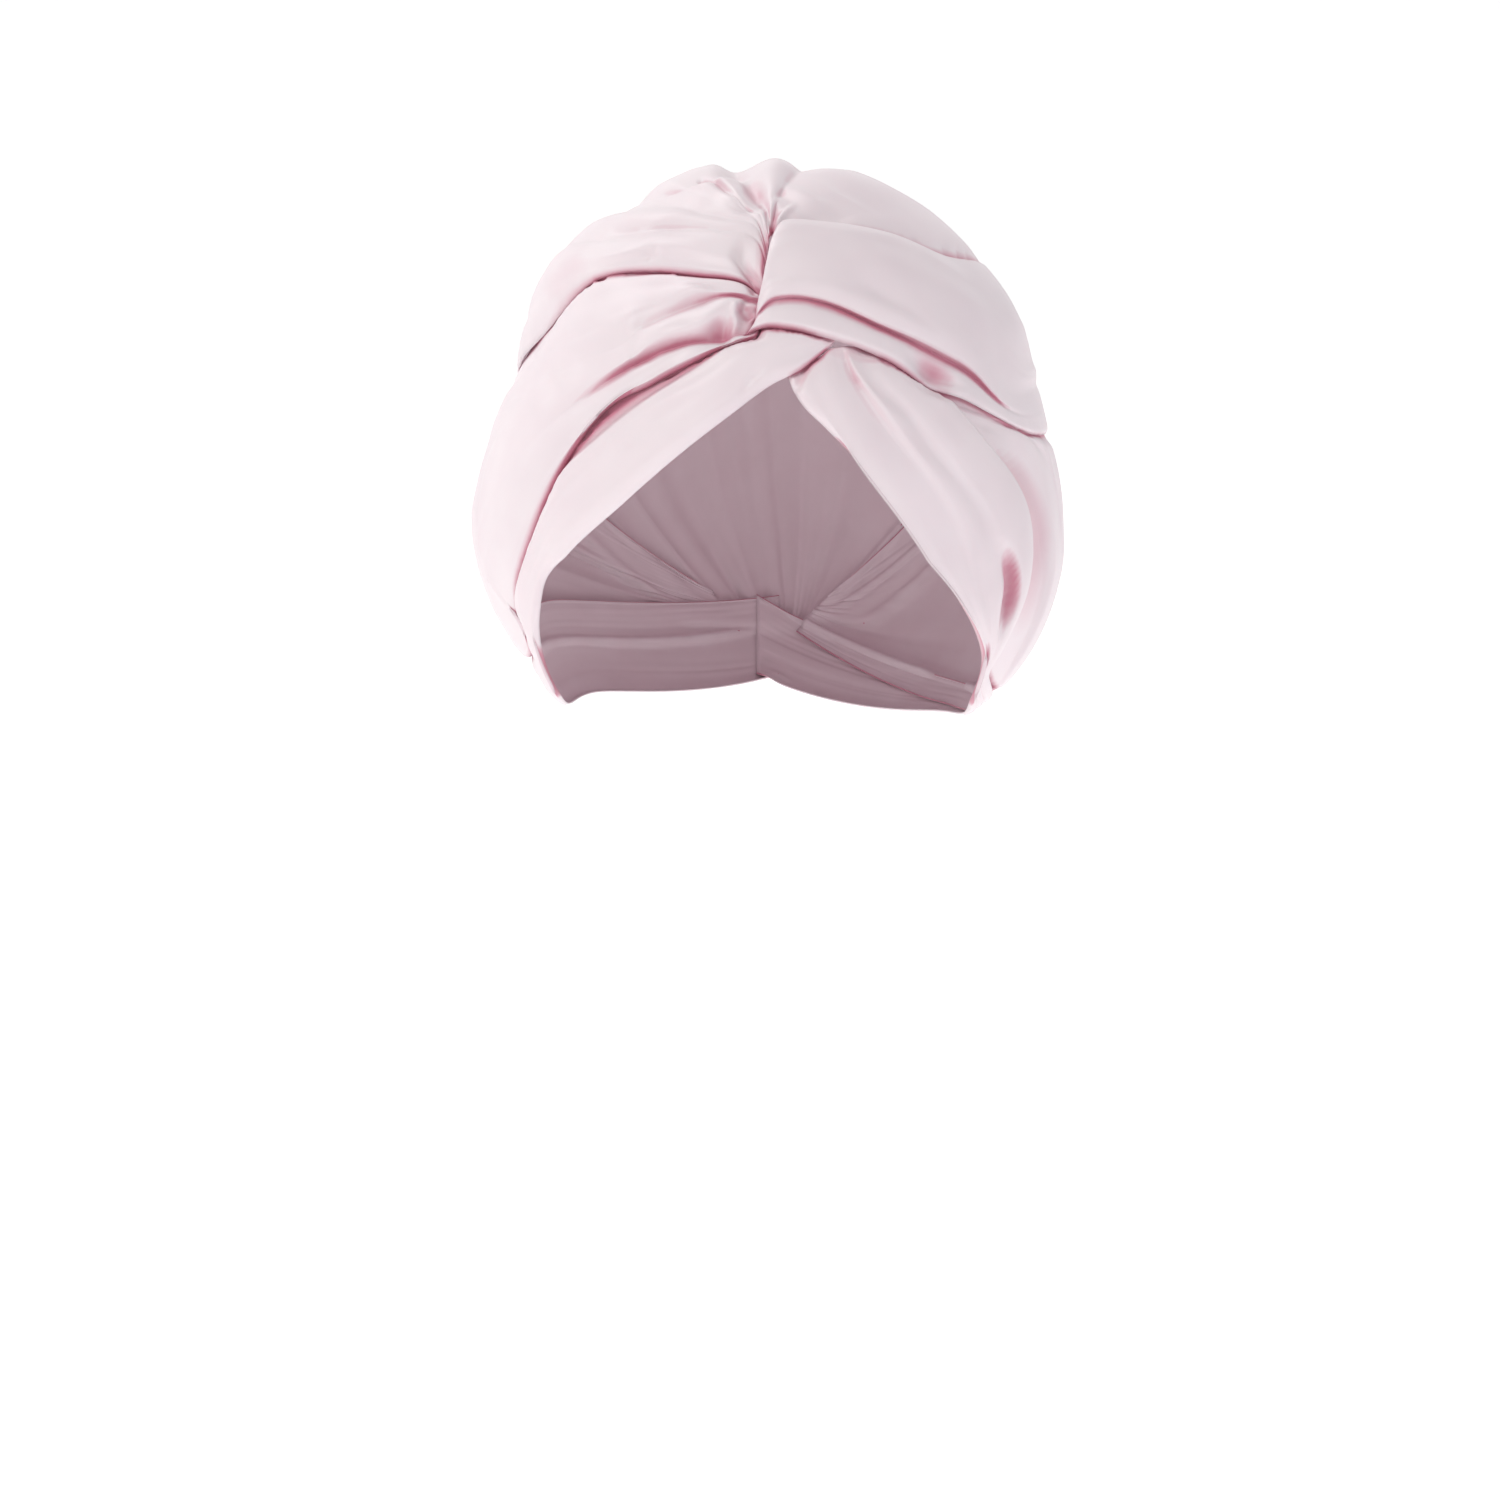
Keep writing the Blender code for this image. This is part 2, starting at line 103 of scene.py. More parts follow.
# Fold lines, each place with its lift in millimetres. A ridge is round and every other kind sharp,
# and "back" puts a place on the rear half.
# fold, kind, twist, knot, brow, middle, temple, side, rear
CROWN_FOLDS = (
    ("left seam", "edge",
     (768, 299, .5), (746, 283, 1.0), (700, 276, .8), (653, 271, .8), (597, 279, .8),
     (-.80, .57, -4.8), (-.85, .24, -2.4)),
    ("seam roll", "ridge",
     (769, 295, 1.), (748, 276, 2.6), (702, 267, 2.8), (655, 262, 2.8), (598, 269, 2.8),
     (-.78, .62, .6), (-.82, .33, -1.6)),
    ("belly", "ridge",
     (769, 290, 1.4), (750, 266, 3.0), (706, 250, 4.4), (658, 247, 4.6), (602, 257, 5.0),
     (-.765, .63, 3.8, "back"), (-.80, .36, -.6)),
    ("belly top", "ridge",
     (769, 280, 1.6), (756, 244, 3.0), (717, 234, 4.2), (663, 235, 4.4), (608, 246, 5.0),
     (-.735, .655, 4.6, "back"), (-.78, .385, .8)),
    ("belly crease", "crease",
     (769, 274, 1.4), (756, 240, 2.4), (717, 230, 2.8), (663, 230, 2.6), (607, 240, 3.4),
     (-.71, .69, 4.2, "back"), (-.765, .395, -1.0)),
    ("second fold", "ridge",
     (769, 266, 1.6), (757, 233, 2.6), (722, 222, 3.6), (680, 217, 4.2), (628, 218, 4.6),
     (-.655, .735, 4.2, "back"), (-.70, .44, 2.4)),
    ("second crease", "crease",
     (769, 262, 1.6), (757, 229, 2.2), (727, 218, 2.8), (694, 212, 3.0), (648, 208, 2.0),
     (-.60, .78, 1.6, "back"), (-.64, .47, .6)),
    ("thin fold", "ridge",
     (769, 256, 1.6), (757, 225, 2.4), (729, 212, 3.4), (700, 204, 3.4), (656, 202, 1.0),
     (-.56, .81, .0, "back"), (-.60, .485, 2.0)),
    ("thin crease", "ridge",
     (769, 252, 1.6), (757, 222, 2.2), (731, 207, 3.4), (704, 198, 3.4), (664, 195, 1.0),
     (-.49, .855, -.8, "back"), (-.53, .505, -.4)),
    ("left lobe", "ridge",
     (769, 247, 1.6), (758, 219, 2.4), (736, 203, 3.8), (713, 188, 4.6), (682, 184, 4.4),
     (-.36, .915, 2.6, "back"), (-.42, .525, 3.2)),
    ("lobe crease", "crease",
     (769, 244, 1.6), (760, 218, 2.2), (741, 204, 3.2), (722, 187, 4.0), (702, 177, 4.6),
     (-.26, .945, 3.0, "back"), (-.28, .55, -.4)),
    ("lobe roll", "ridge",
     (769, 240, 1.6), (763, 217, 2.8), (748, 201, 4.0), (732, 184, 4.8), (713, 174, 5.0),
     (-.19, .96, 2.8, "back"), (-.19, .56, 2.4)),
    ("left valley", "ridge",
     (770, 237, 1.6), (767, 213, 1.6), (758, 198, 1.0), (748, 186, .2), (739, 178, -.8),
     (-.11, .975, -1.2, "back"), (-.11, .56, -1.2)),
    ("crest", "ridge",
     (771, 233, 1.6), (771, 208, 2.8), (772, 190, 3.2), (774, 173, 3.8), (776, 160, 4.2),
     (.02, .985, 2.6, "back"), (.00, .56, 2.6)),
    ("right valley", "crease",
     (773, 230, 1.6), (777, 206, 1.8), (783, 192, 1.4), (791, 181, .8), (798, 175, .0),
     (.12, .975, -1.2, "back"), (.12, .56, -1.2)),
    ("right lobe", "ridge",
     (.03, .83, 1.4), (.07, .875, 2.6), (.13, .905, 3.6), (.19, .92, 4.2), (.25, .93, 4.6),
     (.31, .935, 4.4, "back"), (.31, .54, 3.6)),
    ("shoulder", "ridge",
     (.04, .81, .4), (.10, .855, 1.4), (.21, .87, 2.4), (.30, .875, 3.2), (.40, .87, 3.8),
     (.56, .80, 4.6, "back"), (.55, .47, .8)),
    ("tucked edge", "edge",
     (.04, .78, -2.), (.10, .79, -2.4), (.21, .79, -2.4), (.32, .78, -2.4), (.44, .76, -1.6),
     (.77, .56, 2.4), (.80, .18, -.8)),
)
WRAP_FOLDS = (
    ("right seam", "edge",
     (745, 334, .8), (768, 327, 2.2), (815, 334, 2.4), (870, 352, 2.0), (942, 389, .8),
     (1030, 433, -1.8), (.85, .14, -2.0)),
    ("lower roll", "ridge",
     (748, 329, 2.2), (771, 321, 4.2), (817, 327, 4.4), (873, 345, 3.8), (946, 381, 1.8),
     (1027, 426, -1.2), (.845, .17, -.8)),
    ("band", "ridge",
     (752, 324, 2.2), (773, 311, 4.4), (819, 314, 4.6), (878, 336, 4.0), (950, 374, 1.6),
     (1024, 420, -1.2), (.84, .19, -.6)),
    ("deep crease", "crease",
     (755, 318, 2.0), (774, 301, 3.0), (822, 303, 2.4), (884, 329, 1.2), (954, 364, -1.2),
     (1021, 415, -1.4), (.83, .20, -.8)),
    ("fold lip", "lip",
     (755, 315, 2.8), (773, 297, 5.2), (821, 299, 5.4), (885, 325, 5.0), (957, 359, 2.6),
     (1019, 410, -1.0), (.825, .22, -.2)),
    ("lower swell", "ridge",
     (756, 306, 3.4), (772, 282, 6.6), (826, 282, 7.6), (893, 305, 7.4), (967, 338, 4.6),
     (1016, 395, -.8), (.80, .25, .6)),
    ("broad fold", "ridge",
     (761, 285, 4.0), (772, 260, 7.4), (834, 255, 8.8), (906, 272, 8.4), (980, 306, 5.2),
     (.85, .47, .8), (.77, .28, .8)),
    ("top roll", "ridge",
     (767, 256, 4.0), (776, 236, 7.2), (831, 233, 8.2), (903, 246, 7.2), (974, 284, 4.0),
     (.80, .585, 4.4), (.72, .33, 1.2)),
    ("fold edge", "edge",
     (773, 230, 2.6), (786, 219, 5.0), (828, 221, 5.6), (882, 230, 4.2), (947, 255, 2.4),
     (.72, .685, 4.2, "back"), (.70, .36, .0)),
)
# fold, kind, twist, knot, brow, middle, temple, side, ear, rear
LEFT_SIDE_FOLDS = (
    ("tucked edge", "edge",
     (770, 292, -.8), (744, 274, -.8), (700, 266, -.8), (645, 262, -.8), (588, 270, -1.0),
     (-.79, .63, -6.4), (-.86, .47, -6.0, "back"), (-.84, .33, -4.8)),
    ("top roll", "ridge",
     (768, 298, .5), (740, 289, 2.6), (700, 285, 2.0), (645, 284, 1.4), (590, 297, 1.0),
     (-.84, .52, -6.4), (-.91, .34, -3.0, "back"), (-.87, .20, 1.6)),
    ("broad fold", "ridge",
     (767, 300, .5), (736, 292, 2.8), (700, 292, 2.6), (645, 301, 2.6), (594, 322, 2.4),
     (-.88, .44, -4.2), (-.94, .26, -1.8, "back"), (-.89, .12, .0)),
    ("top crease", "crease",
     (766, 303, .2), (731, 296, 1.2), (700, 303, 1.0), (646, 326, 1.2), (601, 355, 1.2),
     (-.90, .36, -3.2), (-.96, .17, -2.0, "back"), (-.90, .04, -1.6)),
    ("puff", "ridge",
     (764, 312, .5), (736, 307, 3.0), (696, 319, 5.2), (650, 342, 4.2), (594, 378, 2.8),
     (-.93, .25, -1.4), (-.985, .05, .2), (-.89, -.04, .8)),
    ("puff valley", "crease",
     (759, 330, .0), (731, 337, -1.0), (698, 344, -1.6), (658, 354, -.6), (593, 391, .8),
     (-.95, .06, .2), (-.97, -.10, -.2), (-.87, -.18, -2.0)),
    ("thin fold", "ridge",
     (758, 333, .2), (729, 342, 1.2), (695, 350, 2.2), (656, 367, 3.2), (595, 409, 3.6),
     (-.94, -.06, .0), (-.92, -.25, -1.2), (-.84, -.30, -2.2)),
    ("brow roll", "ridge",
     (757, 335, .2), (727, 344, 1.2), (693, 357, 2.4), (654, 377, 3.2), (593, 420, 3.2),
     (-.90, -.14, -1.8), (523, 634, -2.4), (-.79, -.44, -2.8)),
    ("lower edge", "edge",
     (756, 337, .0), (725, 346, .6), (692, 362, 1.0), (652, 383, 1.4), (589, 427, 1.2),
     (-.855, -.18, -3.2), (530, 653, -3.8), (-.755, -.54, -4.0)),
)
# fold, kind, twist, knot, brow, middle, temple, cheek, side, ear, rear
LEFT_BAND_FOLDS = (
    ("tucked edge", "edge",
     (842, 322, -2.), (800, 310, -2.), (744, 321, -1.6), (688, 351, -1.6), (586, 410, -1.4),
     (507, 496, -1.8), (498, 575, -3.0), (518, 632, -5.4), (-.80, -.38, -5.4)),
    ("recess", "crease",
     (841, 327, -1.), (800, 317, -.5), (745, 329, -.2), (690, 362, -.2), (592, 424, -.2),
     (520, 506, -1.0), (506, 589, -2.4), (527, 650, -4.8), (-.78, -.46, -5.0)),
    ("recess end", "ridge",
     (841, 329, -.5), (800, 319, .6), (746, 333, .6), (691, 368, .4), (597, 432, .4),
     (528, 512, .0), (511, 592, -1.4), (533, 658, -4.0), (-.765, -.49, -4.6)),
    ("upper roll", "ridge",
     (840, 331, .0), (800, 322, 2.4), (748, 338, 3.0), (694, 374, 3.0), (601, 438, 3.0),
     (534, 516, 2.6), (515, 595, .8), (541, 672, -2.4), (-.74, -.53, -3.4)),
    ("upper swell", "ridge",
     (838, 335, .0), (800, 331, 3.0), (752, 346, 3.8), (698, 382, 3.8), (605, 446, 3.6),
     (538, 524, 3.0), (518, 598, 1.2), (545, 679, -1.8), (-.72, -.56, -2.6)),
    ("band middle", "ridge",
     (836, 339, .0), (801, 343, 2.8), (757, 358, 3.6), (704, 395, 3.4), (611, 461, 2.8),
     (542, 538, 2.2), (524, 603, .8), (550, 686, -1.4), (-.685, -.61, -2.2)),
    ("lower swell", "ridge",
     (833, 343, .0), (802, 356, 2.2), (763, 373, 3.0), (712, 410, 2.8), (617, 482, 2.0),
     (546, 554, 1.4), (531, 609, .6), (554, 691, -1.2), (-.64, -.67, -2.0)),
    ("rim", "edge",
     (830, 347, -.4), (803, 367, 1.2), (769, 385, 1.0), (719, 422, .4), (623, 502, -.4),
     (550, 570, -.6), (537, 616, -.8), (558, 697, -2.0), (-.59, -.74, -2.4)),
)
RIGHT_BAND_FOLDS = (
    ("outer edge", "edge",
     (892, 334, -2.), (912, 352, -1.), (940, 386, .8), (984, 436, 2.2), (1029, 507, 2.6),
     (1031, 580, 2.6), (1006, 645, 2.0), (990, 677, .6), (.67, -.68, -1.6)),
    ("outer swell", "ridge",
     (886, 339, -1.), (903, 357, 1.6), (930, 391, 3.0), (973, 443, 3.8), (1020, 511, 4.2),
     (1023, 580, 4.4), (1001, 646, 3.2), (987, 680, 1.4), (.66, -.695, -.6)),
    ("second ridge", "ridge",
     (876, 345, -.5), (888, 369, 2.2), (913, 405, 3.4), (950, 455, 3.6), (1000, 524, 3.4),
     (1006, 590, 2.6), (995, 649, 2.6), (984, 684, 1.4), (.65, -.71, -.6)),
    ("shallow dip", "ridge",
     (861, 345, -1.), (872, 371, 2.0), (897, 405, 2.6), (931, 452, 2.8), (984, 531, 2.4),
     (991, 600, 2.0), (991, 651, 2.2), (981, 688, 1.2), (.645, -.72, -.8)),
    ("crisp ridge", "crisp",
     (844, 345, .0), (856, 370, 3.2), (881, 403, 4.0), (909, 442, 3.6), (966, 534, 2.5),
     (982, 604, 2.0), (989, 652, 2.0), (979, 691, 1.0), (.635, -.73, -.8)),
    ("valley", "crease",
     (840, 346, -.5), (851, 374, .8), (873, 409, 1.2), (901, 447, 1.8), (960, 538, 2.1),
     (979, 606, 1.8), (988, 653, 1.9), (978, 693, 1.0), (.63, -.735, -.9)),
    ("band middle", "ridge",
     (822, 352, .0), (832, 386, 2.6), (852, 426, 3.2), (882, 469, 3.0), (940, 552, 2.4),
     (971, 608, 1.8), (986, 655, 1.8), (976, 696, 1.0), (.615, -.75, -1.)),
    ("near swell", "ridge",
     (806, 357, .0), (816, 395, 2.0), (838, 433, 2.6), (867, 478, 2.2), (925, 558, 1.6),
     (966, 611, 1.4), (985, 656, 1.4), (974, 700, .8), (.60, -.765, -1.2)),
    ("rim", "edge",
     (784, 366, -.5), (800, 400, .8), (828, 429, .4), (861, 464, .2), (915, 537, .0),
     (961, 602, .0), (984, 657, .2), (972, 704, .0), (.58, -.79, -1.8)),
)
# fold, kind, twist, brow, temple, side, ear, rear
RIGHT_SIDE_FOLDS = (
    ("tucked edge", "edge",
     (.30, .60, -4.8), (.60, .52, -4.0), (.86, .44, -4.0), (.925, .36, -3.0),
     (.88, .32, -2.4, "back"), (.70, .20, -2.0)),
    ("upper fold", "ridge",
     (.295, .595, -3.2), (.61, .48, -2.4), (.91, .31, -1.6), (.99, .08, -.4),
     (.93, -.02, .2, "back"), (.74, -.04, .8)),
    ("limb fold", "ridge",
     (.29, .59, -3.2), (.62, .44, -2.4), (.93, .25, -1.6), (.99, -.08, .6),
     (.90, -.34, .2, "back"), (.74, -.27, 1.6)),
    ("inner roll", "ridge",
     (.288, .585, -3.4), (.61, .42, -2.8), (1032, 448, -1.8), (1056, 560, .4),
     (997, 691, .8), (.72, -.62, .4)),
    ("hollow", "ridge",
     (.286, .58, -4.0), (.60, .40, -3.6), (1012, 452, -3.0), (1043, 558, -2.6),
     (989, 696, .2), (.68, -.69, -.4)),
    ("lower edge", "edge",
     (.28, .57, -4.8), (.55, .36, -5.6), (975, 452, -3.0), (996, 604, -1.5),
     (980, 698, -.4), (.61, -.76, -1.8)),
)

# Ends at the nape, for a sheet's first and last fold line. The bands' ends lap at the back.
CROWN_NAPE = ((-.24, -.53), (.16, -.53))
WRAP_NAPE = ((.34, -.52), (.14, -.51))
LEFT_SIDE_NAPE = ((-.20, -.40), (-.10, -.56))
LEFT_BAND_NAPE = ((.04, -.42), (.04, -.72))
RIGHT_BAND_NAPE = ((-.04, -.42), (-.04, -.72))
RIGHT_SIDE_NAPE = ((.24, -.40), (.10, -.56))

# Smaller dents and creases, pressed along a line of pixels: depth in millimetres, the reach to the
# line's left and right in pixels, the shares of the line over which it starts and ends, the places.
# A painted shade stroke adds to the painted rose shade of the folds instead of pressing a dent,
# darkening hollows where shade falls.
CROWN_STROKES = (
    ("valley at the twist", "dent", 1.8, 9, 8, .35, .0, ((738, 238), (746, 262), (759, 290))),
    ("long crease", "crease", .9, 5, 4, .2, .0, ((729, 250), (742, 267), (762, 292))),
    ("short crease", "crease", .7, 4, 4, .3, .0, ((735, 249), (748, 264), (763, 281))),
    ("belly dint", "dent", 1.2, 6, 4, .4, .4, ((643, 260), (652, 254), (663, 249))),
    ("belly fold", "dent", -.9, 9, 9, .4, .4, ((575, 282), (612, 258), (672, 243), (722, 244))),
    ("hollow above the belly", "dent", 2.2, 7, 5, .4, .4, ((602, 234), (626, 229), (655, 226))),
    ("mauve hollow", "dent", 1.0, 12, 8, .4, .2, ((740, 184), (750, 197), (763, 216))),
    ("corner ridge", "dent", -1.3, 3, 3, .3, .4, ((771, 231), (784, 215), (799, 202))),
    ("lobe line", "crease", 1.8, 3, 4, .08, .8,
     ((697, 178), (709, 180), (722, 188), (741, 206), (763, 221))),
    ("lobe roll", "dent", -.8, 4, 5, .3, .3, ((707, 175), (728, 187), (750, 211))),
    ("painted shade at the twist", "painted shade", .1, 5, 5, .4, .0, ((742, 262), (752, 278), (759, 294))),
    ("painted shade in the mauve hollow", "painted shade", .04, 14, 8, .3, .3, ((742, 184), (751, 198), (763, 216))),
    ("painted shade on the side", "painted shade", .1, 18, 22, .3, .4, ((541, 318), (556, 285), (580, 262), (604, 250))),
    ("seam line", "crease", .5, 3, 3, .3, .3, ((606, 246), (634, 239), (663, 233), (727, 233))),
)
WRAP_STROKES = (
    ("soft valley", "dent", .8, 20, 26, .4, .4, ((828, 262), (872, 284), (936, 326))),
    ("dimple", "dent", 5.2, 6, 14, .5, .5, ((900, 345), (936, 370), (968, 392))),
    ("under the lip", "dent", .5, 6, 6, .3, .3, ((850, 272), (905, 306), (950, 338))),
    ("painted dimple shade", "painted shade", .22, 7, 12, .5, .5, ((900, 343), (936, 369), (968, 392))),
)
LEFT_SIDE_STROKES = (
    ("first pocket", "dent", 2.4, 8, 8, .3, .3, ((739, 303), (745, 309), (754, 318))),
    ("second pocket", "dent", 3.0, 10, 14, .4, .4, ((711, 312), (720, 328), (716, 346))),
    ("pocket ridge", "dent", -1.5, 4, 4, .2, .2, ((738, 301), (734, 314), (736, 325), (730, 340))),
    ("faint crease", "crease", .8, 4, 6, .4, .4, ((540, 352), (580, 336), (622, 321))),
    ("upper dint", "dent", 1.0, 9, 10, .4, .4, ((550, 380), (566, 372), (584, 362))),
    ("lower dint", "dent", 1.0, 9, 10, .4, .4, ((527, 408), (540, 398), (556, 388))),
    ("long fold", "dent", -1.0, 8, 12, .4, .4, ((560, 352), (622, 322), (690, 296), (732, 291))),
    ("puff dint", "dent", 1.0, 8, 8, .4, .4, ((628, 362), (640, 357), (662, 352))),
    ("painted pocket shade", "painted shade", .08, 12, 16, .4, .4, ((711, 312), (720, 328), (716, 346))),
    ("painted shade on the side", "painted shade", .06, 20, 24, .4, .4, ((545, 350), (520, 420), (500, 480), (492, 560))),
)
LEFT_BAND_STROKES = (
    ("end crease", "crease", .7, 5, 5, .4, .4, ((738, 399), (750, 381), (768, 366))),
    ("long shade", "dent", .5, 8, 8, .4, .4, ((560, 515), (590, 485), (640, 440))),
    ("painted recess shade", "painted shade", .22, 8, 8, .3, .3,
     ((660, 380), (627, 400), (592, 427), (550, 468), (522, 506), (508, 556), (512, 600))),
)
RIGHT_BAND_STROKES = (
    ("dimple", "dent", 5.0, 3, 10, .5, .3, ((1000, 534), (1014, 562), (1017, 596), (1001, 644))),
    ("under fold", "dent", 1.8, 1.5, 9, .1, .2, ((811, 359), (804, 376), (796, 394))),
    ("inner roll", "dent", -1.2, 3, 3, .2, .2, ((820, 355), (829, 347), (838, 345))),
    ("painted dimple shade", "painted shade", .24, 3.5, 9, .5, .3,
     ((1000, 534), (1014, 562), (1017, 596), (1001, 644))),
)
RIGHT_SIDE_STROKES = (
    ("hollow by the band", "dent", 1.0, 10, 8, .3, .3,
     ((992, 434), (1020, 465), (1038, 503), (1042, 545), (1034, 585))),
    ("painted hollow shade", "painted shade", .22, 16, 8, .15, .5,
     ((984, 436), (1018, 483), (1033, 520), (1034, 553), (1026, 600), (1010, 640), (990, 672))),
)

# Colours of the cloth and the stage, in sRGB
PINK = "#F0E5E8"
PINK_MAUVE = "#E4D5DB"
# Painted shade: creases, hollows and the shaded side of the cloth are mixed toward this rose
PAINTED_SHADE_ROSE = "#CC7F95"
BACK_PINK = "#DDC8CF"
FLOOR_WHITE = "#FBFAFA"

# The stage: its paper runs far to the sides and the front, and sweeps up behind
FLOOR_HEIGHT = -0.414
FLOOR_SPREAD = 30.0
FLOOR_FRONT = 4.0
SWEEP_START = 2.5
SWEEP_RADIUS = 1.5
BACKDROP_TOP = 4.5
PAPER_GLOW = 0.42             # the paper is lit through from behind, so it shows white
WORLD_LIGHT = 0.35


def linear(colour):
    """An sRGB hex colour as linear red, green, blue and alpha."""
    parts = [int(colour[i:i + 2], 16) / 255 for i in (1, 3, 5)]
    return [c / 12.92 if c <= 0.04045 else ((c + 0.055) / 1.055) ** 2.4 for c in parts] + [1.0]


def photo_view():
    """The place of the eye, and the view's forward, right and up."""
    back = np.array((0.0, -math.cos(VIEW_ELEVATION), math.sin(VIEW_ELEVATION)))
    eye = MIDDLE + back * VIEW_DISTANCE
    pitch = VIEW_ELEVATION + math.atan((PHOTO_WIDTH / 2 - MIDDLE_PIXEL[1]) / FOCAL_PIXELS)
    yaw = math.atan((MIDDLE_PIXEL[0] - PHOTO_WIDTH / 2) / FOCAL_PIXELS)
    level = math.cos(pitch)
    forward = np.array((-math.sin(yaw) * level, math.cos(yaw) * level, -math.sin(pitch)))
    right = np.cross(forward, (0.0, 0.0, 1.0))
    right /= np.linalg.norm(right)
    return eye, forward, right, np.cross(right, forward)


EYE, FORWARD, RIGHT, UP = photo_view()


def form_size(places):
    """Half sizes of the form on the side where each place lies."""
    depth = np.where(places[..., 1] < 0, BROW_DEPTH, BACK_DEPTH)
    height = np.where(places[..., 2] > 0, CROWN_HEIGHT, NAPE_DROP)
    return np.stack((np.full_like(depth, HALF_WIDTH), depth, height), axis=-1)


def at_pixel(x, y, lift):
    """Direction from the form's middle to the place that shows at a pixel of the photograph."""
    ray = FORWARD * FOCAL_PIXELS + RIGHT * (x - PHOTO_WIDTH / 2) - UP * (y - PHOTO_WIDTH / 2)
    ray /= np.linalg.norm(ray)
    nearest, farthest = SEARCH_SPAN
    along = np.linspace(VIEW_DISTANCE + nearest, VIEW_DISTANCE + farthest, SEARCH_STEPS)
    places = EYE + along[:, None] * ray - MIDDLE
    size = form_size(places)
    shares = places / size
    shares /= np.linalg.norm(shares, axis=1, keepdims=True)
    above = np.linalg.norm(places, axis=1) - np.linalg.norm(shares * size, axis=1) - lift
    index = int(np.argmax(above < 0)) if (above < 0).any() else int(np.argmin(above))
    return shares[index]


def at_share(across, up, back):
    """Direction from the form's middle to a place given by its shares across and up."""
    depth = max(0.0, 1.0 - across * across - up * up) ** 0.5
    way = np.array((across, depth if back else -depth, up))
    return way / np.linalg.norm(way)


def on_photo(points):
    """Where points show in the photograph, in pixels."""
    offset = points - EYE
    far = offset @ FORWARD
    x = PHOTO_WIDTH / 2 + FOCAL_PIXELS * (offset @ RIGHT) / far
    y = PHOTO_WIDTH / 2 - FOCAL_PIXELS * (offset @ UP) / far
    return x, y


def curve_weights(places, samples):
    """Weights of a smooth curve through the places, at each sample."""
    places = np.array(places)
    last = len(places) - 1
    weights = np.zeros((len(samples), last + 1))
    for index, sample in enumerate(samples):
        span = min(int(np.searchsorted(places, sample, side="right")) - 1, last - 1)
        width = places[span + 1] - places[span]
        share = (sample - places[span]) / width
        square = share * share
        cube = square * share
        weights[index, span] += 2 * cube - 3 * square + 1
        weights[index, span + 1] += 3 * square - 2 * cube
        for node, slope in ((span, cube - 2 * square + share), (span + 1, cube - square)):
            before = max(node - 1, 0)
            after = min(node + 1, last)
            pull = slope * width / (places[after] - places[before])
            weights[index, after] += pull
            weights[index, before] -= pull
    return weights


def fold_profile(share, first_kind, second_kind):
    """Progress of the height between two fold lines: round at a ridge, pointed at a crease."""
    first_sharp = first_kind != "ridge"
    second_sharp = second_kind != "ridge"
    if first_sharp and second_sharp:
        return share
    if first_sharp:
        return math.sin(share * math.pi / 2)
    if second_sharp:
        return 1 - math.cos(share * math.pi / 2)
    return (1 - math.cos(share * math.pi)) / 2


def surface(directions, lifts):
    """Places over the form, in metres."""
    base = directions * form_size(directions)
    outward = base / np.linalg.norm(base, axis=-1, keepdims=True)
    return MIDDLE + base + outward * lifts[..., None]


def lay_sheet(folds, nape, columns, fineness):
    """Directions and lifts of a sheet as a grid: along its folds, then across them."""
    front_faces, rear_faces, across_step = fineness
    samples = np.concatenate((
        np.linspace(0, FRONT_END, front_faces + 1),
        np.linspace(FRONT_END, 1, rear_faces + 1)[1:],
    ))
    weights = curve_weights(columns, samples)
    lines = []
    for index, (_, kind, *places) in enumerate(folds):
        share = index / (len(folds) - 1)
        end = np.array(nape[0]) * (1 - share) + np.array(nape[1]) * share
        stations = []
        for column, (x, y, lift, *back) in enumerate(places):
            rear = bool(back) or column == len(places) - 1
            way = at_pixel(x, y, lift * MM) if abs(x) > 2 else at_share(x, y, rear)
            stations.append((*way, lift * MM))
        stations.append((*at_share(*end, True), NAPE_RIDGE if kind == "ridge" else 0.0))
        lines.append(weights @ np.array(stations))
    rows = []
    for index in range(len(folds) - 1):
        first, second = lines[index], lines[index + 1]
        width = np.linalg.norm((first - second)[:, :3], axis=1).mean() * HALF_WIDTH
        faces = int(np.clip(round(width / across_step), *FOLD_FACES))
        for step in range(faces):
            share = step / faces
            height = fold_profile(share, folds[index][1], folds[index + 1][1])
            row = first * (1 - share) + second * share
            row[:, 3] = first[:, 3] * (1 - height) + second[:, 3] * height
            rows.append(row)
    rows.append(lines[-1])
    table = np.stack(rows, axis=1)
    directions = table[..., :3] / np.linalg.norm(table[..., :3], axis=-1, keepdims=True)
    return directions, table[..., 3]


def blur(values, passes):
    """Even out a grid of values by repeated averaging with the neighbours."""
    for _ in range(passes):
        padded = np.pad(values, 1, mode="edge")
        values = (
            padded[1:-1, 1:-1] * 2
            + padded[:-2, 1:-1] + padded[2:, 1:-1]
            + padded[1:-1, :-2] + padded[1:-1, 2:]
        ) / 6
    return values


def gathers(points, seed, count, twist_height, nape_height):
    """Small pleats that run out of the twist and of the nape and die away."""
    rng = np.random.default_rng(seed)
    along = np.linspace(0, 1, points.shape[0])[:, None]
    across = np.linspace(0, 1, points.shape[1])[None, :]
    lift = np.zeros(points.shape[:2])
    for from_end, height, longest in ((along, twist_height, 0.16), (1 - along, nape_height, 0.30)):
        for _ in range(count):
            place, bend = rng.uniform(0.03, 0.97), rng.uniform(-0.05, 0.05)
            width = rng.uniform(0.015, 0.04)
            rise = rng.uniform(-1.0, 1.0) * height
            reach = rng.uniform(0.05, longest)
            pleat = np.exp(-((across - place - bend * from_end / reach) / width) ** 2)
            lift += rise * pleat * np.exp(-(from_end / reach) ** 2)
    return lift


